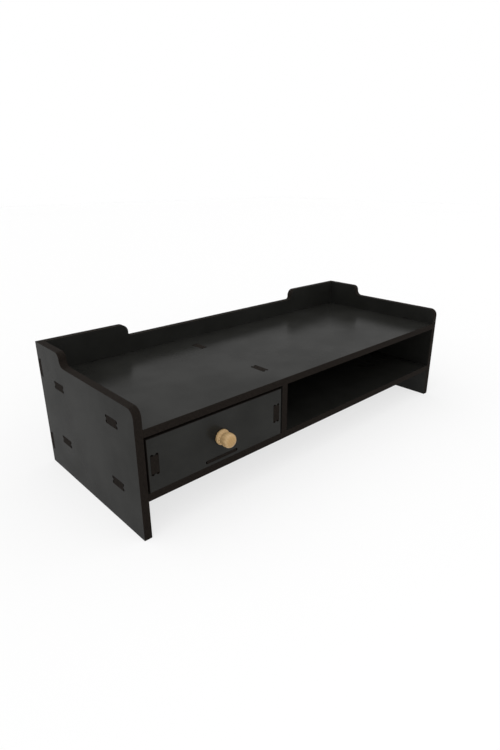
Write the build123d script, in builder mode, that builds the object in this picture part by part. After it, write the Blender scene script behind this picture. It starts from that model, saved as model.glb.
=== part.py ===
"""Monitor stand with a drawer, slotted together from flat boards.

Millimetres, +Z up, the front faces -Y. The origin lies on the floor, at the
middle of the space that the stand takes up with its knob.
"""

import os

from build123d import *

# Overall sizes
stand_width = 500.0
stand_depth = 198.0
board = 8.0

# Heights above the floor, and rises above the platform
platform_height = 111.0
lower_shelf_height = 47.0
rail_rise = 20.5
ear_rise = 35.0

# Outlines of the raised edge
side_ear_length = 57.5
side_ear_round = 7.0
side_ear_cove = 7.5
back_ear_length = 107.0
back_ear_round = 9.0
back_ear_cove = 4.0
front_corner_round = 9.0

# Tabs and slots
tab_length = 18.0
long_tab_length = 37.0
slot_clearance = 0.15
relief_radius = 1.5
shelf_tab_inset = 40.0
rear_tab_inset = 79.0
back_tab_inset = 28.5

# Drawer and the room round it
drawer_bay_width = 170.0
drawer_side_gap = 2.0
drawer_top_gap = 2.5
drawer_rear_gap = 0.5
drawer_front_lip = 3.0
drawer_box_headroom = 8.0
drawer_floor = 3.0
drawer_floor_lift = 3.5

# Knob, turned in one piece, measured outwards from the drawer front
knob_length = 17.0
knob_base_radius = 8.2
knob_base_thickness = 3.5
knob_rim_chamfer = 0.5
knob_neck_radius = 6.9
knob_neck_taper = 1.2
knob_neck_length = 0.9
knob_head_radius = 8.3
knob_head_start_angle = 2.0

# Screw that holds the knob
screw_radius = 1.5
screw_bite = 10.0
screw_point = 3.0
screw_head_radius = 3.5
screw_head_height = 2.4
screw_head_chamfer = 1.1
screw_hole_clearance = 0.4
pilot_clearance = 0.1
pilot_spare_depth = 1.0

# Places that follow from the sizes of the stand
left_x = -stand_width / 2
right_x = stand_width / 2
front_y = (knob_length - stand_depth) / 2
back_y = front_y + stand_depth
inner_width = stand_width - 2 * board
shelf_depth = stand_depth - board
shelf_middle_y = front_y + shelf_depth / 2
rail_height = platform_height + rail_rise
ear_height = platform_height + ear_rise
bay_height = platform_height - board - lower_shelf_height
bay_middle_z = lower_shelf_height + bay_height / 2
divider_x = left_x + board + drawer_bay_width + board / 2
shelf_tab_spread = shelf_depth - 2 * shelf_tab_inset
rear_tab_spread = stand_width - 2 * rear_tab_inset
back_tab_heights = (back_tab_inset, ear_height - back_tab_inset)

# Places that follow from the sizes of the drawer
drawer_x = left_x + board + drawer_bay_width / 2
drawer_front_width = drawer_bay_width - 2 * drawer_side_gap
drawer_front_height = bay_height - drawer_top_gap
drawer_box_width = drawer_front_width - 2 * drawer_front_lip
drawer_inner_width = drawer_box_width - 2 * board
drawer_side_y = front_y + board
drawer_back_y = front_y + shelf_depth - drawer_rear_gap
drawer_inner_length = drawer_back_y - board - drawer_side_y
drawer_inner_y = drawer_side_y + drawer_inner_length / 2
drawer_box_height = bay_height - drawer_box_headroom
drawer_box_z = lower_shelf_height + drawer_box_height / 2
drawer_front_z = lower_shelf_height + drawer_front_height / 2
drawer_floor_z = lower_shelf_height + drawer_floor_lift
drawer_floor_middle = drawer_floor_z + drawer_floor / 2

# Places that follow from the sizes of the knob and its screw
knob_neck_start = knob_base_thickness + knob_neck_taper
knob_neck_end = knob_neck_start + knob_neck_length
knob_head_centre = knob_length - knob_head_radius
screw_reach = board + screw_bite


def slot(length, thickness):
    """Slot along the sketch's X, with round reliefs past its corners."""
    slot_length = length + 2 * slot_clearance
    slot_width = thickness + 2 * slot_clearance
    relief_rows = 2 if slot_width > 4 * relief_radius else 1
    Rectangle(slot_length, slot_width, mode=Mode.SUBTRACT)
    with GridLocations(slot_length, slot_width - 2 * relief_radius, 2, relief_rows):
        Circle(relief_radius, mode=Mode.SUBTRACT)


def open_notch(length, depth):
    """Notch along the sketch's Y that opens towards +X, with reliefs past its inner corners."""
    notch_length = length + 2 * slot_clearance
    Rectangle(depth, notch_length, align=(Align.MIN, Align.CENTER), mode=Mode.SUBTRACT)
    with Locations((relief_radius, 0)):
        with GridLocations(0, notch_length, 1, 2):
            Circle(relief_radius, mode=Mode.SUBTRACT)


def save(part, name):
    """Labels a finished piece and writes it."""
    part.label = name
    export_step(part, f"parts/{name}.step")


os.makedirs("parts", exist_ok=True)


# Side boards: an ear at the rear, a rail along the top, slots for both shelves
def side_outline():
    """Side board's outline, with y along the sketch's X and the height along its Y."""
    ear_front = back_y - side_ear_length
    corners = [
        (back_y, 0, 0),
        (back_y, ear_height, 0),
        (ear_front, ear_height, side_ear_round),
        (ear_front, rail_height, side_ear_cove),
        (front_y, rail_height, front_corner_round),
        (front_y, 0, 0),
    ]
    points = [(y, z) for y, z, _ in corners]
    radii = [radius for _, _, radius in corners]
    FilletPolyline(*points, radius=radii, close=True)


for side_name, side_x in (("side_left", left_x), ("side_right", right_x - board)):
    with BuildPart() as side_board:
        with BuildSketch(Plane.YZ.offset(side_x)):
            with BuildLine():
                side_outline()
            make_face()
            for shelf_top in (platform_height, lower_shelf_height):
                with Locations((shelf_middle_y, shelf_top - board / 2)):
                    with GridLocations(shelf_tab_spread, 0, 2, 1):
                        slot(tab_length, board)
            for tab_z in back_tab_heights:
                with Locations((back_y - board, tab_z)):
                    open_notch(tab_length, board)
        extrude(amount=board)
    save(side_board.part, side_name)


# Back panel: full height, an ear at each end, tabs in the sides' rear notches
def back_outline():
    """Back panel's outline without its tabs, with x along the sketch's X."""
    edge = inner_width / 2
    ear_end = right_x - back_ear_length
    right_half = [
        (edge, 0, 0),
        (edge, ear_height, 0),
        (ear_end, ear_height, back_ear_round),
        (ear_end, rail_height, back_ear_cove),
    ]
    left_half = [(-x, z, radius) for x, z, radius in reversed(right_half)]
    corners = right_half + left_half
    points = [(x, z) for x, z, _ in corners]
    radii = [radius for _, _, radius in corners]
    FilletPolyline(*points, radius=radii, close=True)


with BuildPart() as back_panel:
    with BuildSketch(Plane.XZ.offset(-back_y)):
        with BuildLine():
            back_outline()
        make_face()
        for tab_z in back_tab_heights:
            with Locations((0, tab_z)):
                Rectangle(stand_width, tab_length)
        for shelf_top in (platform_height, lower_shelf_height):
            with Locations((0, shelf_top - board / 2)):
                with GridLocations(rear_tab_spread, 0, 2, 1):
                    slot(long_tab_length, board)
    extrude(amount=board)
save(back_panel.part, "back_panel")

# Shelves: end tabs through the sides, rear tabs through the back, slots for the divider
shelves = (("top_shelf", platform_height), ("bottom_shelf", lower_shelf_height))
for shelf_name, shelf_top in shelves:
    with BuildPart() as shelf:
        with BuildSketch(Plane.XY.offset(shelf_top - board)):
            with Locations((0, shelf_middle_y)):
                Rectangle(inner_width, shelf_depth)
                with GridLocations(0, shelf_tab_spread, 1, 2):
                    Rectangle(stand_width, tab_length)
            with Locations((0, back_y - board)):
                with GridLocations(rear_tab_spread, 0, 2, 1):
                    Rectangle(long_tab_length, board, align=(Align.CENTER, Align.MIN))
            with Locations((divider_x, shelf_middle_y)):
                with GridLocations(0, shelf_tab_spread, 1, 2):
                    with Locations(Location((0, 0), 90)):
                        slot(tab_length, board)
        extrude(amount=board)
    save(shelf.part, shelf_name)

# Divider between the drawer and the paper bay, tabs through both shelves
with BuildPart() as divider:
    with BuildSketch(Plane.YZ.offset(divider_x - board / 2)):
        with Locations((shelf_middle_y, bay_middle_z)):
            Rectangle(shelf_depth, bay_height)
            with GridLocations(shelf_tab_spread, 0, 2, 1):
                Rectangle(tab_length, bay_height + 2 * board)
    extrude(amount=board)
save(divider.part, "divider")

# Drawer front: slots for the tabs of the sides and the floor, hole for the screw
with BuildPart() as drawer_front:
    with BuildSketch(Plane.XZ.offset(-drawer_side_y)):
        with Locations((drawer_x, drawer_front_z)):
            Rectangle(drawer_front_width, drawer_front_height)
            with GridLocations(drawer_box_width - board, 0, 2, 1):
                with Locations(Location((0, 0), 90)):
                    slot(tab_length, board)
            Circle(screw_radius + screw_hole_clearance, mode=Mode.SUBTRACT)
        with Locations((drawer_x, drawer_floor_middle)):
            slot(long_tab_length, drawer_floor)
    extrude(amount=board)
save(drawer_front.part, "drawer_front")

# Drawer sides: a tab through the front, a notch for the back, a slot for the floor
drawer_left_x = drawer_x - drawer_box_width / 2
drawer_right_x = drawer_x + drawer_box_width / 2 - board
drawer_sides = (("drawer_side_left", drawer_left_x), ("drawer_side_right", drawer_right_x))
for side_name, side_x in drawer_sides:
    with BuildPart() as drawer_side:
        with BuildSketch(Plane.YZ.offset(side_x)):
            with Locations((drawer_side_y, drawer_box_z)):
                side_length = drawer_back_y - drawer_side_y
                Rectangle(side_length, drawer_box_height, align=(Align.MIN, Align.CENTER))
            with Locations((front_y, drawer_front_z)):
                Rectangle(board, tab_length, align=(Align.MIN, Align.CENTER))
            with Locations((drawer_back_y - board, drawer_box_z)):
                open_notch(tab_length, board)
            with Locations((drawer_inner_y, drawer_floor_middle)):
                slot(long_tab_length, drawer_floor)
        extrude(amount=board)
    save(drawer_side.part, side_name)

# Drawer back: tabs in the sides' notches, a slot for the floor
with BuildPart() as drawer_back:
    with BuildSketch(Plane.XZ.offset(-drawer_back_y)):
        with Locations((drawer_x, drawer_box_z)):
            Rectangle(drawer_inner_width, drawer_box_height)
            Rectangle(drawer_box_width, tab_length)
        with Locations((drawer_x, drawer_floor_middle)):
            slot(long_tab_length, drawer_floor)
    extrude(amount=board)
save(drawer_back.part, "drawer_back")

# Drawer floor: a thin sheet with a tab through each of the four boards round it
with BuildPart() as drawer_bottom:
    with BuildSketch(Plane.XY.offset(drawer_floor_z)):
        with Locations((drawer_x, drawer_inner_y)):
            Rectangle(drawer_inner_width, drawer_inner_length)
            Rectangle(drawer_box_width, long_tab_length)
            Rectangle(long_tab_length, drawer_inner_length + 2 * board)
    extrude(amount=drawer_floor)
save(drawer_bottom.part, "drawer_bottom")

# The knob and its screw share an axis square to the drawer front
knob_axis = Axis((drawer_x, front_y, drawer_front_z), (0, -1, 0))


def turning_plane(y):
    """Plane to turn a profile on: its X is the radius, its Y runs outwards from y."""
    return Plane(origin=(drawer_x, y, drawer_front_z), x_dir=(1, 0, 0), z_dir=(0, 0, -1))


def facing_plane(y):
    """Plane square to the knob's axis that faces into the drawer."""
    return Plane(origin=(drawer_x, y, drawer_front_z), x_dir=(1, 0, 0), z_dir=(0, 1, 0))


# Knob: a base disc, a neck for the fingers, a round head, a blind pilot hole
with BuildPart() as drawer_knob:
    with BuildSketch(turning_plane(front_y)):
        with BuildLine():
            dome = CenterArc(
                (0, knob_head_centre),
                knob_head_radius,
                start_angle=knob_head_start_angle,
                arc_size=90 - knob_head_start_angle,
            )
            Polyline(
                dome @ 1,
                (0, 0),
                (knob_base_radius - knob_rim_chamfer, 0),
                (knob_base_radius, knob_rim_chamfer),
                (knob_base_radius, knob_base_thickness - knob_rim_chamfer),
                (knob_base_radius - knob_rim_chamfer, knob_base_thickness),
                (knob_neck_radius, knob_neck_start),
                (knob_neck_radius, knob_neck_end),
                dome @ 0,
            )
        make_face()
    revolve(axis=knob_axis)
    with Locations(facing_plane(front_y)):
        Hole(screw_radius + pilot_clearance, depth=screw_bite + pilot_spare_depth)
save(drawer_knob.part, "drawer_knob")

# Screw: a pan head inside the drawer, a pointed shank through the front into the knob
with BuildPart() as knob_screw:
    with BuildSketch(turning_plane(drawer_side_y)):
        with BuildLine():
            Polyline(
                (0, -screw_head_height),
                (screw_head_radius - screw_head_chamfer, -screw_head_height),
                (screw_head_radius, screw_head_chamfer - screw_head_height),
                (screw_head_radius, 0),
                (screw_radius, 0),
                (screw_radius, screw_reach - screw_point),
                (0, screw_reach),
                close=True,
            )
        make_face()
    revolve(axis=knob_axis)
save(knob_screw.part, "knob_screw")
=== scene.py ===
"""Monitor stand with a drawer: black-faced boards, beech knob, zinc screw, studio and camera."""

import math

import bmesh
import bpy
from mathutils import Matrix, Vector


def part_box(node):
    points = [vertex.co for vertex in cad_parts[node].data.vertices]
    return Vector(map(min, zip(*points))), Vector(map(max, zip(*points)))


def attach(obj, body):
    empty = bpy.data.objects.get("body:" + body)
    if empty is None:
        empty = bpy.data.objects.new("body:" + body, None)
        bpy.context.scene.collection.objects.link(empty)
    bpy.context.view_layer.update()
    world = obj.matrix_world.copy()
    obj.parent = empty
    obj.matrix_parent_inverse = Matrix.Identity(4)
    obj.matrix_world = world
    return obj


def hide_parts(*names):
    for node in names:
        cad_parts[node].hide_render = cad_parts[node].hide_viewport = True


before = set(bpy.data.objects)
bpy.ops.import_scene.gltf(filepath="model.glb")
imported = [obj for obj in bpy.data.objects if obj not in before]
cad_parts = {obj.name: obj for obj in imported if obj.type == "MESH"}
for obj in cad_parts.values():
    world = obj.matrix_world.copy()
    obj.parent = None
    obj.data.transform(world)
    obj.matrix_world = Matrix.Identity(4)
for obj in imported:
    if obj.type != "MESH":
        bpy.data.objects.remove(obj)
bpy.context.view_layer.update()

bl_info = {
    "name": "Monitor stand with drawer",
    "version": (1, 0, 0),
    "blender": (4, 5, 0),
    "location": "View3D > Sidebar > Stand",
    "description": "Dresses a slotted monitor stand: boards, drawer, knob, screw and studio",
    "category": "Object",
}

MM = 0.001
WHITE = (1.0, 1.0, 1.0, 1.0)
NOISE_LOW, NOISE_HIGH = 0.35, 0.65  # the range in which a noise texture mostly stays
WAVE_TURN = 20.0  # radians that a wave texture of scale 1 turns through in a metre
LATE_WOOD, EARLY_WOOD = 0.1, 0.8  # wave values where late wood ends and early wood begins
FLECK_FULL, FLECK_GONE = 0.32, 0.46  # noise values where a fleck starts to fade and is gone
SIDE_TILT, END_TILT = -0.5, -0.95  # the normal's Y where end grain starts and where it is full

FLAT_FACE = 0.98  # a normal with this much of the board's thin axis belongs to a face
WELD_DISTANCE = 0.001 * MM  # points of a board that lie this near are one point
FLAT_ANGLE = math.radians(0.5)  # faces of a board that meet at less than this are one face
CORNER_ANGLE = math.radians(40)  # edges of a board that are sharper than this get an arris
CREASE_ANGLE = math.radians(50)  # edges of a turned piece that are sharper than this stay sharp

STAND_BOARDS = ("side_left", "side_right", "back_panel", "top_shelf", "bottom_shelf", "divider")
DRAWER_BOARDS = ("drawer_front", "drawer_side_left", "drawer_side_right", "drawer_back")
DRAWER_SHEETS = ("drawer_bottom",)

# The knob's turned outline as shares of its radius and its length, from the drawer front outwards
KNOB_OUTLINE = (
    (0.915, 0.000),
    (0.965, 0.045),
    (0.965, 0.150),
    (0.900, 0.215),
    (0.780, 0.285),
    (0.785, 0.370),
    (0.860, 0.455),
    (0.890, 0.555),
    (0.890, 0.680),
    (0.840, 0.795),
    (0.715, 0.885),
    (0.480, 0.946),
    (0.225, 0.971),
    (0.000, 0.977),
)

# The screw head's outline as shares of its radius and its height, from its bearing face inwards
SCREW_HEAD_OUTLINE = (
    (1.000, 0.000),
    (1.000, 0.220),
    (0.960, 0.480),
    (0.850, 0.740),
    (0.640, 0.920),
    (0.340, 0.985),
    (0.000, 1.000),
)
SCREW_TIP = 0.12  # the blunt tip's share of the thread's radius
THREAD_RINGS = 8  # rings of points to one turn of the thread
RECESS_TAPER = 0.45  # share of the cutter's width that is left at the recess's bottom


# Shared helpers


def linear(hex_colour):
    """Linear RGBA of an sRGB hex colour such as #1b1b1a."""
    channels = [int(hex_colour[i : i + 2], 16) / 255 for i in (1, 3, 5)]
    curved = [c / 12.92 if c <= 0.04045 else ((c + 0.055) / 1.055) ** 2.4 for c in channels]
    return (*curved, 1.0)


def length_setting(name, description, millimetres):
    """A length for the panel, written in mm and kept in metres."""
    return bpy.props.FloatProperty(
        name=name,
        description=description,
        default=millimetres * MM,
        min=0.0,
        precision=5,
        unit="LENGTH",
    )


def share_setting(name, description, default):
    """A share for the panel, from 0 to 1."""
    return bpy.props.FloatProperty(
        name=name, description=description, default=default, min=0.0, max=1.0, subtype="FACTOR"
    )


def colour_setting(name, description, hex_colour):
    """A colour for the panel, written as sRGB hex and kept as linear RGBA."""
    return bpy.props.FloatVectorProperty(
        name=name,
        description=description,
        default=linear(hex_colour),
        size=4,
        min=0.0,
        max=1.0,
        subtype="COLOR",
    )


def angle_setting(name, description, degrees):
    """An angle for the panel, written in degrees and kept in radians."""
    return bpy.props.FloatProperty(
        name=name, description=description, default=math.radians(degrees), subtype="ANGLE"
    )


def settings():
    """The values that the panel's operators use."""
    return bpy.context.scene.stand_settings


def new_object(name, mesh):
    """Links a mesh to the scene under a name."""
    piece = bpy.data.objects.new(name, mesh)
    bpy.context.scene.collection.objects.link(piece)
    return piece


def empty_tree(owner):
    """The node tree of a new material or world, with nothing in it."""
    owner.use_nodes = True
    owner.node_tree.nodes.clear()
    return owner.node_tree


def new_material(name):
    """An empty node material and its node tree."""
    material = bpy.data.materials.new(name)
    return material, empty_tree(material)


def add_node(tree, kind, inputs=None, stops=(), **options):
    """Adds a node with its options and its colour stops.

    Each input is a value, an output, or a node whose first output is meant.
    """
    node = tree.nodes.new(kind)
    for name, value in options.items():
        setattr(node, name, value)
    for index, (position, colour) in enumerate(stops):
        node.color_ramp.elements[index].position = position
        node.color_ramp.elements[index].color = colour
    for name, value in (inputs or {}).items():
        if isinstance(value, bpy.types.Node):
            value = next(output for output in value.outputs if output.enabled)
        if isinstance(value, bpy.types.NodeSocket):
            tree.links.new(value, node.inputs[name])
        else:
            node.inputs[name].default_value = value
    return node


def finished_mesh(name, shape):
    """Mesh of a bmesh shape, which is freed."""
    mesh = bpy.data.meshes.new(name)
    shape.to_mesh(mesh)
    shape.free()
    return mesh


# Materials


def black_faced_mdf():
    """Pressed fibreboard with a face of black lacquer."""
    # A soft black with a satin reflection, a fine stipple and faint smudges
    values = settings().board
    material, tree = new_material("black_faced_mdf")
    place = add_node(tree, "ShaderNodeTexCoord").outputs["Object"]
    smudges = add_node(
        tree,
        "ShaderNodeTexNoise",
        {"Vector": place, "Scale": 1 / values.smudge_size, "Detail": 3.0},
    )
    tone = add_node(
        tree,
        "ShaderNodeValToRGB",
        {"Fac": smudges},
        stops=((NOISE_LOW, values.face_dark), (NOISE_HIGH, values.face_light)),
    )
    lacquer = add_node(
        tree,
        "ShaderNodeMapRange",
        {
            "Value": smudges,
            "From Min": NOISE_LOW,
            "From Max": NOISE_HIGH,
            "To Min": values.lacquer - values.smudging,
            "To Max": values.lacquer + values.smudging,
        },
    )
    # The real stipple is about 0.3 mm wide; it is drawn coarser so that a render can show it
    grains = add_node(
        tree,
        "ShaderNodeTexNoise",
        {"Vector": place, "Scale": 1 / values.stipple_size, "Detail": 2.0},
    )
    stipple = add_node(
        tree,
        "ShaderNodeBump",
        {"Height": grains, "Strength": 0.25, "Distance": values.stipple_depth},
    )
    # All of the face's reflection comes from its thin lacquer, so the black below it has none
    surface = add_node(
        tree,
        "ShaderNodeBsdfPrincipled",
        {
            "Base Color": tone,
            "Roughness": values.face_roughness,
            "IOR": 1.45,
            "Specular IOR Level": 0.0,
            "Normal": stipple,
            "Coat Weight": lacquer,
            "Coat Roughness": values.lacquer_roughness,
            "Coat Normal": stipple,
        },
    )
    add_node(tree, "ShaderNodeOutputMaterial", {"Surface": surface})
    return material


def sawn_mdf_edge(thin_axis):
    """Sawn edge of a dark fibreboard that is thin along the given axis."""
    # Brown-black and dull, with layers of fibres that run along the board
    values = settings().board
    material, tree = new_material(f"sawn_mdf_edge_{'xyz'[thin_axis]}")
    place = add_node(tree, "ShaderNodeTexCoord").outputs["Object"]
    packing = [1.0, 1.0, 1.0]
    packing[thin_axis] = values.fibre_length / values.fibre_layer
    layers = add_node(tree, "ShaderNodeMapping", {"Vector": place, "Scale": packing})
    # Real fibres are finer than 0.1 mm; they are drawn coarser so that a render can show them
    fibres = add_node(
        tree,
        "ShaderNodeTexNoise",
        {"Vector": layers, "Scale": 1 / values.fibre_length, "Detail": 6.0, "Roughness": 0.7},
    )
    tone = add_node(
        tree,
        "ShaderNodeValToRGB",
        {"Fac": fibres},
        stops=((NOISE_LOW, values.edge_dark), (NOISE_HIGH, values.edge_light)),
    )
    saw_marks = add_node(
        tree,
        "ShaderNodeBump",
        {"Height": fibres, "Strength": 0.5, "Distance": values.fibre_depth},
    )
    surface = add_node(
        tree,
        "ShaderNodeBsdfPrincipled",
        {
            "Base Color": tone,
            "Roughness": values.edge_roughness,
            "IOR": 1.45,
            "Specular IOR Level": 0.06,
            "Normal": saw_marks,
        },
    )
    add_node(tree, "ShaderNodeOutputMaterial", {"Surface": surface})
    return material


def turned_beech():
    """Beech, turned along its grain and oiled."""
    # Cream sides with short flecks along the grain, faint rings, a duller face of end grain
    values = settings().knob
    material, tree = new_material("turned_beech")
    coordinates = add_node(tree, "ShaderNodeTexCoord").outputs
    low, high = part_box("drawer_knob")
    heart = (low + high) / 2 + Vector(values.heart_offset)
    heart.y = 0.0  # the heart is a line along the grain
    from_heart = add_node(
        tree, "ShaderNodeMapping", {"Vector": coordinates["Object"], "Location": -heart}
    )
    rings = add_node(
        tree,
        "ShaderNodeTexWave",
        {
            "Vector": from_heart,
            "Scale": 2 * math.pi / (WAVE_TURN * values.ring_spacing),
            "Distortion": 2.0,
            "Detail": 2.0,
            "Detail Scale": 1.5,
        },
        wave_type="RINGS",
        rings_direction="Y",
    )
    wood = add_node(
        tree,
        "ShaderNodeValToRGB",
        {"Fac": rings.outputs["Fac"]},
        stops=((LATE_WOOD, values.wood_dark), (EARLY_WOOD, values.wood_light)),
    )
    # Real flecks are about 0.2 mm wide; they are drawn coarser so that a render can show them
    packing = (1.0, values.fleck_width / values.fleck_length, 1.0)
    along_grain = add_node(
        tree, "ShaderNodeMapping", {"Vector": coordinates["Object"], "Scale": packing}
    )
    open_grain = add_node(
        tree,
        "ShaderNodeTexNoise",
        {"Vector": along_grain, "Scale": 1 / values.fleck_width, "Detail": 4.0},
    )
    flecks = add_node(
        tree,
        "ShaderNodeValToRGB",
        {"Fac": open_grain},
        stops=((FLECK_FULL, values.fleck), (FLECK_GONE, WHITE)),
    )
    flecked = add_node(
        tree,
        "ShaderNodeMix",
        {"Factor": values.fleck_strength, "A": wood, "B": flecks},
        data_type="RGBA",
        blend_type="MULTIPLY",
    )
    # End grain, which faces along Y, drinks more oil than the sides and looks duller
    facing = add_node(tree, "ShaderNodeSeparateXYZ", {"Vector": coordinates["Normal"]})
    end_grain = add_node(
        tree,
        "ShaderNodeMapRange",
        {"Value": facing.outputs["Y"], "From Min": SIDE_TILT, "From Max": END_TILT},
    )
    oiled = add_node(
        tree,
        "ShaderNodeMix",
        {"Factor": end_grain, "A": flecked, "B": values.end_grain},
        data_type="RGBA",
        blend_type="MULTIPLY",
    )
    pores = add_node(
        tree,
        "ShaderNodeBump",
        {"Height": open_grain, "Strength": 0.2, "Distance": values.fleck_depth},
    )
    surface = add_node(
        tree,
        "ShaderNodeBsdfPrincipled",
        {"Base Color": oiled, "Roughness": values.roughness, "IOR": 1.47, "Normal": pores},
    )
    add_node(tree, "ShaderNodeOutputMaterial", {"Surface": surface})
    return material


def zinc_plated_steel():
    """Steel, pressed and rolled to a screw and plated with bright zinc."""
    # Pale metal with soft highlights and faint cloudy patches
    values = settings().screw
    material, tree = new_material("zinc_plated_steel")
    place = add_node(tree, "ShaderNodeTexCoord").outputs["Object"]
    patches = add_node(
        tree,
        "ShaderNodeTexNoise",
        {"Vector": place, "Scale": 1 / values.patch_size, "Detail": 3.0},
    )
    dullness = add_node(
        tree,
        "ShaderNodeMapRange",
        {
            "Value": patches,
            "To Min": values.roughness - values.patchiness,
            "To Max": values.roughness + values.patchiness,
        },
    )
    surface = add_node(
        tree,
        "ShaderNodeBsdfPrincipled",
        {"Base Color": values.zinc, "Metallic": 1.0, "Roughness": dullness},
    )
    add_node(tree, "ShaderNodeOutputMaterial", {"Surface": surface})
    return material


def seen_directly(tree):
    """1 where a camera, glossy or transmission ray looks, 0 where a surface gathers light."""
    rays = add_node(tree, "ShaderNodeLightPath").outputs
    seen = rays["Is Camera Ray"]
    for other in (rays["Is Glossy Ray"], rays["Is Transmission Ray"]):
        seen = add_node(tree, "ShaderNodeMath", {0: seen, 1: other}, operation="MAXIMUM")
    return seen


def white_vinyl_sweep():
    """Matt white vinyl, rolled out below the object."""
    # White all over, with only the object's pale shadow on it
    values = settings().stage
    material, tree = new_material("white_vinyl_sweep")
    matt = add_node(
        tree, "ShaderNodeBsdfDiffuse", {"Color": values.floor_colour, "Roughness": 1.0}
    )
    white = add_node(tree, "ShaderNodeEmission", {"Color": WHITE, "Strength": 1.0})
    whiteness = add_node(
        tree,
        "ShaderNodeMapRange",
        {"Value": seen_directly(tree), "To Min": 0.0, "To Max": values.floor_whiteness},
    )
    surface = add_node(tree, "ShaderNodeMixShader", {0: whiteness, 1: matt, 2: white})
    add_node(tree, "ShaderNodeOutputMaterial", {"Surface": surface})
    return material


def white_room():
    """Even white light from all round, and pure white where it is looked at."""
    world = bpy.data.worlds.new("white_room")
    tree = empty_tree(world)
    strength = add_node(
        tree,
        "ShaderNodeMapRange",
        {"Value": seen_directly(tree), "To Min": settings().stage.room_light, "To Max": 1.0},
    )
    light = add_node(tree, "ShaderNodeBackground", {"Color": WHITE, "Strength": strength})
    add_node(tree, "ShaderNodeOutputWorld", {"Surface": light})
    return world


# Shapes


def eased_board(node, arris):
    """Copy of a board with its flat faces merged and a small arris along every edge."""
    board = bmesh.new()
    board.from_mesh(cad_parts[node].data)
    bmesh.ops.remove_doubles(board, verts=board.verts, dist=WELD_DISTANCE)
    bmesh.ops.dissolve_limit(
        board, angle_limit=FLAT_ANGLE, verts=board.verts, edges=board.edges
    )
    closed = [edge for edge in board.edges if edge.is_manifold]
    sharp = [edge for edge in closed if edge.calc_face_angle(0.0) > CORNER_ANGLE]
    bmesh.ops.bevel(
        board,
        geom=sharp,
        offset=arris,
        offset_type="OFFSET",
        segments=2,
        profile=0.5,
        affect="EDGES",
        clamp_overlap=False,
    )
    return board


def dress_board(node, body, face, edges):
    """Stands an eased, two-material copy of a board in for its node."""
    values = settings().board
    low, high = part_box(node)
    size = high - low
    axis = min(range(3), key=lambda index: size[index])
    arris = values.arris if size[axis] > values.thin_limit else values.thin_arris
    board = eased_board(node, arris)
    for polygon in board.faces:
        polygon.smooth = False
        polygon.material_index = 0 if abs(polygon.normal[axis]) > FLAT_FACE else 1
    mesh = finished_mesh(f"{node}_board", board)
    mesh.materials.append(face)
    mesh.materials.append(edges[axis])
    piece = new_object(f"{node}_board", mesh)
    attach(piece, body)
    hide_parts(node)


def turned(name, outline, foot, steps, groove=None):
    """Solid of revolution about a line along Y; distances count from its foot towards -Y.

    A groove takes its depth off the radius at a distance and a share of a full turn.
    """
    solid = bmesh.new()
    rings = []
    for radius, distance in outline:
        y = foot.y - distance
        if radius == 0:
            rings.append([solid.verts.new((foot.x, y, foot.z))])
            continue
        ring = []
        for step in range(steps):
            turn = step / steps
            reach = radius - (groove(distance, turn) if groove else 0.0)
            x = foot.x + reach * math.cos(2 * math.pi * turn)
            z = foot.z + reach * math.sin(2 * math.pi * turn)
            ring.append(solid.verts.new((x, y, z)))
        rings.append(ring)
    for near, far in zip(rings, rings[1:]):
        for step in range(steps):
            after = (step + 1) % steps
            corners = [near[step % len(near)], near[after % len(near)]]
            corners += [far[after % len(far)], far[step % len(far)]]
            unique = list(dict.fromkeys(corners))
            if len(unique) > 2:
                solid.faces.new(unique)
    bmesh.ops.recalc_face_normals(solid, faces=solid.faces)
    mesh = finished_mesh(name, solid)
    mesh.shade_smooth()
    mesh.set_sharp_from_angle(angle=CREASE_ANGLE)
    return new_object(name, mesh)


def cross_cutter(centre, length, width, depth):
    """Tapered cross-shaped plug that cuts a screw's recess this deep below its centre."""
    quarter = ((length / 2, width / 2), (width / 2, width / 2), (width / 2, length / 2))
    turns = ((1, 0), (0, 1), (-1, 0), (0, -1))
    cross = [(x * c - z * s, x * s + z * c) for c, s in turns for x, z in quarter]
    plug = bmesh.new()
    mouth = [plug.verts.new((centre.x + x, centre.y + depth, centre.z + z)) for x, z in cross]
    foot = [(x * RECESS_TAPER, z * RECESS_TAPER) for x, z in cross]
    floor = [plug.verts.new((centre.x + x, centre.y - depth, centre.z + z)) for x, z in foot]
    plug.faces.new(mouth)
    plug.faces.new(reversed(floor))
    for index, vertex in enumerate(mouth):
        plug.faces.new((vertex, floor[index], floor[index - 1], mouth[index - 1]))
    bmesh.ops.recalc_face_normals(plug, faces=plug.faces)
    return new_object("cross_cutter", finished_mesh("cross_cutter", plug))


def cut_away(piece, cutter):
    """Takes the cutter's shape out of a piece and deletes the cutter."""
    modifier = piece.modifiers.new("recess", "BOOLEAN")
    modifier.operation = "DIFFERENCE"
    modifier.solver = "EXACT"
    modifier.object = cutter
    evaluated = piece.evaluated_get(bpy.context.evaluated_depsgraph_get())
    cut = bpy.data.meshes.new_from_object(evaluated)
    piece.modifiers.clear()
    piece.data = cut
    bpy.data.objects.remove(cutter)


def smooth_outline(points, steps):
    """Points of a curve that runs smoothly through the given ones."""
    curve = bpy.data.curves.new("outline", "CURVE")
    curve.dimensions = "2D"
    spline = curve.splines.new("BEZIER")
    spline.bezier_points.add(len(points) - 1)
    spline.resolution_u = steps
    for bezier, (radius, distance) in zip(spline.bezier_points, points):
        bezier.co = (radius, distance, 0.0)
        bezier.handle_left_type = "AUTO"
        bezier.handle_right_type = "AUTO"
    holder = bpy.data.objects.new("outline", curve)
    mesh = bpy.data.meshes.new_from_object(holder)
    smooth = [(max(point.co.x, 0.0), point.co.y) for point in mesh.vertices]
    bpy.data.objects.remove(holder)
    bpy.data.curves.remove(curve)
    bpy.data.meshes.remove(mesh)
    return smooth


# Settings


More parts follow.
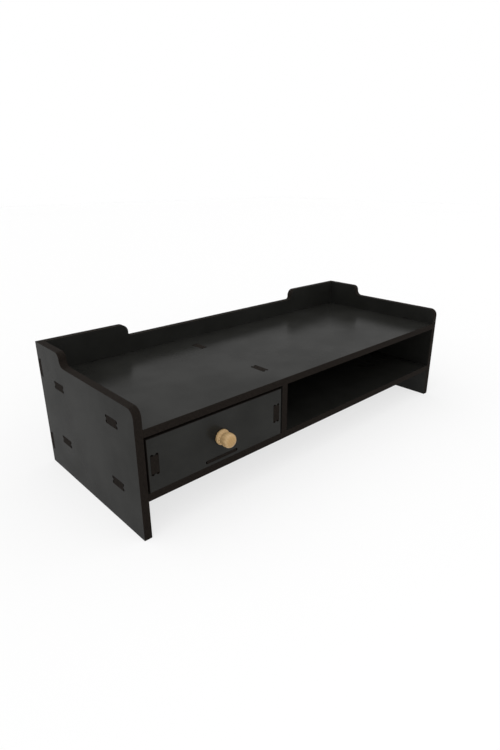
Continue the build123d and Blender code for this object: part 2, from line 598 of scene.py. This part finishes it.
class BoardSettings(bpy.types.PropertyGroup):
    """Boards of the stand and of the drawer."""

    arris: length_setting("Arris", "Eased edge of the thick boards", 0.2)
    thin_arris: length_setting("Thin arris", "Eased edge of the thin boards", 0.12)
    thin_limit: length_setting("Thin limit", "Boards up to this thickness are thin", 4.0)
    face_dark: colour_setting("Face, dark", "Darker tone of the black face", "#20201e")
    face_light: colour_setting("Face, light", "Lighter tone of the black face", "#262624")
    face_roughness: share_setting("Face roughness", "Roughness below the lacquer", 0.6)
    lacquer: share_setting("Lacquer", "Share of the face that thin lacquer covers", 0.26)
    lacquer_roughness: share_setting("Lacquer roughness", "Roughness of the lacquer", 0.22)
    smudging: share_setting("Smudging", "Lacquer that smudges add or take away", 0.015)
    smudge_size: length_setting("Smudges", "Width of the faint smudges", 45.0)
    stipple_size: length_setting("Stipple", "Width of the stipple's grains", 0.9)
    stipple_depth: length_setting("Stipple depth", "Depth of the stipple", 0.03)
    edge_dark: colour_setting("Edge, dark", "Darker tone of the cut edge", "#120f0d")
    edge_light: colour_setting("Edge, light", "Lighter tone of the cut edge", "#26211d")
    edge_roughness: share_setting("Edge roughness", "Roughness of the cut edge", 0.85)
    fibre_length: length_setting("Fibres", "Length of the cut edge's fibres", 2.2)
    fibre_layer: length_setting("Fibre layers", "Thickness of the layers of fibres", 0.44)
    fibre_depth: length_setting("Fibre depth", "Depth of the rough cut edge", 0.12)


class KnobSettings(bpy.types.PropertyGroup):
    """Turned knob."""

    wood_light: colour_setting("Early wood", "Lighter tone of the wood", "#caaa7b")
    wood_dark: colour_setting("Late wood", "Darker tone of the wood", "#c3a273")
    fleck: colour_setting("Flecks", "Tone of the short flecks", "#8a6238")
    end_grain: colour_setting("End grain", "Tint that end grain adds", "#e3dbc6")
    roughness: share_setting("Roughness", "Roughness of the wood", 0.42)
    ring_spacing: length_setting("Ring spacing", "Width of a growth ring", 2.4)
    fleck_width: length_setting("Fleck width", "Width of a fleck", 0.32)
    fleck_length: length_setting("Fleck length", "Length of a fleck along the grain", 2.0)
    fleck_depth: length_setting("Fleck depth", "Depth of the wood's open grain", 0.05)
    fleck_strength: share_setting("Fleck strength", "How far the flecks tint the wood", 0.4)
    heart_offset: bpy.props.FloatVectorProperty(
        name="Heart",
        description="Where the tree's heart lies from the knob's axis",
        default=(19 * MM, 0.0, 11 * MM),
        subtype="TRANSLATION",
    )
    pilot_diameter: length_setting("Pilot hole", "Diameter of the screw's pilot hole", 3.2)
    pilot_depth: length_setting("Pilot depth", "Depth of the screw's pilot hole", 11.0)
    outline_steps: bpy.props.IntProperty(
        name="Outline steps",
        description="Steps from one point of the outline to the next",
        default=6,
        min=1,
    )
    facets: bpy.props.IntProperty(
        name="Facets", description="Facets round the knob", default=80, min=3
    )


class ScrewSettings(bpy.types.PropertyGroup):
    """Screw that holds the knob."""

    zinc: colour_setting("Zinc", "Colour of the plating", "#b9b8b2")
    roughness: share_setting("Roughness", "Mean roughness of the plating", 0.34)
    patchiness: share_setting("Patchiness", "Roughness that patches add or take away", 0.08)
    patch_size: length_setting("Patches", "Width of the cloudy patches", 1.2)
    thread_diameter: length_setting("Thread", "Diameter over the thread", 3.0)
    thread_depth: length_setting("Thread depth", "Depth of the thread", 0.45)
    thread_pitch: length_setting("Pitch", "Distance from thread to thread", 1.25)
    point_length: length_setting("Point", "Length of the pointed tip", 3.0)
    recess_length: length_setting("Recess length", "Length of the cross recess", 3.6)
    recess_width: length_setting("Recess width", "Width of the cross recess", 0.8)
    recess_depth: length_setting("Recess depth", "Depth of the cross recess", 1.3)
    facets: bpy.props.IntProperty(
        name="Facets", description="Facets round the screw", default=36, min=3
    )


class StageSettings(bpy.types.PropertyGroup):
    """Floor, lamp, room light and camera."""

    floor_colour: colour_setting("Floor", "Colour of the floor", "#fdfdfd")
    floor_size: length_setting("Floor size", "Side of the floor", 12000.0)
    floor_drop: length_setting("Floor drop", "How far the floor lies below the object", 0.1)
    floor_whiteness: share_setting("Whiteness", "Share of pure white on the floor", 0.7)
    room_light: bpy.props.FloatProperty(
        name="Room light", description="Strength of the light from all round", default=0.9, min=0.0
    )
    softbox_light: bpy.props.FloatProperty(
        name="Softbox", description="Strength of the soft light from above", default=0.5, min=0.0
    )
    softbox_spread: angle_setting("Spread", "How wide the softbox looks from the object", 60.0)
    softbox_direction: bpy.props.FloatVectorProperty(
        name="Softbox direction",
        description="Where the softbox's light heads",
        default=(0.15, -0.35, -1.0),
        subtype="DIRECTION",
    )
    camera_place: bpy.props.FloatVectorProperty(
        name="Camera",
        description="Where the camera stands",
        default=(-0.4337, -0.4347, 0.3097),
        subtype="TRANSLATION",
    )
    camera_yaw: angle_setting("Yaw", "Turn of the camera from +Y towards +X", 43.42)
    camera_pitch: angle_setting("Pitch", "Tilt of the camera below the horizon", 21.29)
    lens: bpy.props.FloatProperty(
        name="Lens", description="Focal length", default=24.35, min=1.0, unit="CAMERA"
    )
    sideways_shift: bpy.props.FloatProperty(
        name="Shift", description="Sideways shift of the lens", default=-0.0107, precision=4
    )


class StandSettings(bpy.types.PropertyGroup):
    """All values of the stand."""

    board: bpy.props.PointerProperty(type=BoardSettings)
    knob: bpy.props.PointerProperty(type=KnobSettings)
    screw: bpy.props.PointerProperty(type=ScrewSettings)
    stage: bpy.props.PointerProperty(type=StageSettings)


# Operators


class STAND_OT_boards(bpy.types.Operator):
    """Dress the boards of the stand and of the drawer"""

    bl_idname = "stand.boards"
    bl_label = "Boards"

    def execute(self, context):
        face = black_faced_mdf()
        edges = [sawn_mdf_edge(axis) for axis in range(3)]
        for node in STAND_BOARDS:
            dress_board(node, "stand", face, edges)
        for node in DRAWER_BOARDS + DRAWER_SHEETS:
            dress_board(node, "drawer", face, edges)
        return {"FINISHED"}


class STAND_OT_knob(bpy.types.Operator):
    """Turn the drawer's knob"""

    bl_idname = "stand.knob"
    bl_label = "Knob"

    def execute(self, context):
        values = settings().knob
        low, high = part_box("drawer_knob")
        foot = Vector(((low.x + high.x) / 2, high.y, (low.z + high.z) / 2))
        radius = (high.x - low.x) / 2
        length = high.y - low.y
        outline = [(share * radius, along * length) for share, along in KNOB_OUTLINE]
        bore = values.pilot_diameter / 2
        pilot = [(0.0, values.pilot_depth), (bore, values.pilot_depth), (bore, 0.0)]
        outside = smooth_outline(outline, values.outline_steps)
        knob = turned("knob", pilot + outside, foot, values.facets)
        knob.data.materials.append(turned_beech())
        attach(knob, "drawer")
        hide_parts("drawer_knob")
        return {"FINISHED"}


class STAND_OT_screw(bpy.types.Operator):
    """Turn the screw that holds the knob, with its thread and its cross recess"""

    bl_idname = "stand.screw"
    bl_label = "Screw"

    def execute(self, context):
        values = settings().screw
        low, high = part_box("knob_screw")
        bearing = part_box("drawer_front")[1].y
        foot = Vector(((low.x + high.x) / 2, bearing, (low.z + high.z) / 2))
        head_radius = (high.x - low.x) / 2
        head_height = high.y - bearing
        reach = bearing - low.y
        crest = values.thread_diameter / 2
        point = reach - values.point_length
        ring_gap = values.thread_pitch / THREAD_RINGS
        outline = [
            (share * head_radius, -up * head_height) for share, up in reversed(SCREW_HEAD_OUTLINE)
        ]
        for ring in range(int(reach / ring_gap) + 1):
            distance = ring * ring_gap
            taper = min(1.0, (reach - distance) / (reach - point))
            outline.append((crest * max(taper, SCREW_TIP), distance))
        outline.append((0.0, reach))

        def thread(distance, turn):
            """Depth of the thread's groove, which ends at the head and at the point."""
            if distance <= 0 or distance >= point:
                return 0.0
            phase = (distance / values.thread_pitch + turn) % 1
            return values.thread_depth * (1 - abs(2 * phase - 1))

        screw = turned("screw", outline, foot, values.facets, thread)
        mouth = Vector((foot.x, high.y, foot.z))
        recess = (values.recess_length, values.recess_width, values.recess_depth)
        cut_away(screw, cross_cutter(mouth, *recess))
        screw.data.materials.append(zinc_plated_steel())
        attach(screw, "drawer")
        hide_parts("knob_screw")
        return {"FINISHED"}


class STAND_OT_stage(bpy.types.Operator):
    """Set the floor, the lamp, the room light and the camera"""

    bl_idname = "stand.stage"
    bl_label = "Stage"

    def execute(self, context):
        values = settings().stage
        scene = context.scene
        half = values.floor_size / 2
        sheet = bpy.data.meshes.new("floor")
        corners = [(-half, -half), (half, -half), (half, half), (-half, half)]
        sheet.from_pydata([(x, y, -values.floor_drop) for x, y in corners], [], [(0, 1, 2, 3)])
        sheet.materials.append(white_vinyl_sweep())
        new_object("floor", sheet)
        scene.world = white_room()

        lamp = bpy.data.lights.new("top_softbox", "SUN")
        lamp.energy = values.softbox_light
        lamp.angle = values.softbox_spread
        holder = bpy.data.objects.new("top_softbox", lamp)
        aim = Vector(values.softbox_direction)
        holder.rotation_euler = aim.to_track_quat("-Z", "Y").to_euler()
        scene.collection.objects.link(holder)

        camera = bpy.data.cameras.new("camera")
        camera.lens = values.lens
        camera.shift_x = values.sideways_shift
        camera.clip_start = 10 * MM
        eye = bpy.data.objects.new("camera", camera)
        eye.location = values.camera_place
        eye.rotation_euler = (math.pi / 2 - values.camera_pitch, 0.0, -values.camera_yaw)
        scene.collection.objects.link(eye)
        scene.camera = eye
        scene.view_settings.view_transform = "Standard"
        return {"FINISHED"}


class STAND_PT_panel(bpy.types.Panel):
    """Lists the stand's operators"""

    bl_idname = "STAND_PT_panel"
    bl_label = "Monitor stand"
    bl_space_type = "VIEW_3D"
    bl_region_type = "UI"
    bl_category = "Stand"

    def draw(self, context):
        for operator in OPERATORS:
            self.layout.operator(operator.bl_idname)


OPERATORS = (STAND_OT_boards, STAND_OT_knob, STAND_OT_screw, STAND_OT_stage)
SETTINGS = (BoardSettings, KnobSettings, ScrewSettings, StageSettings, StandSettings)
CLASSES = SETTINGS + OPERATORS + (STAND_PT_panel,)


def register():
    """Adds the classes and the scene's settings."""
    for item in CLASSES:
        bpy.utils.register_class(item)
    bpy.types.Scene.stand_settings = bpy.props.PointerProperty(type=StandSettings)


def unregister():
    """Takes the settings and the classes away again."""
    del bpy.types.Scene.stand_settings
    for item in reversed(CLASSES):
        bpy.utils.unregister_class(item)


def main():
    register()
    bpy.ops.stand.boards()
    bpy.ops.stand.knob()
    bpy.ops.stand.screw()
    bpy.ops.stand.stage()


if __name__ == "__main__":
    main()
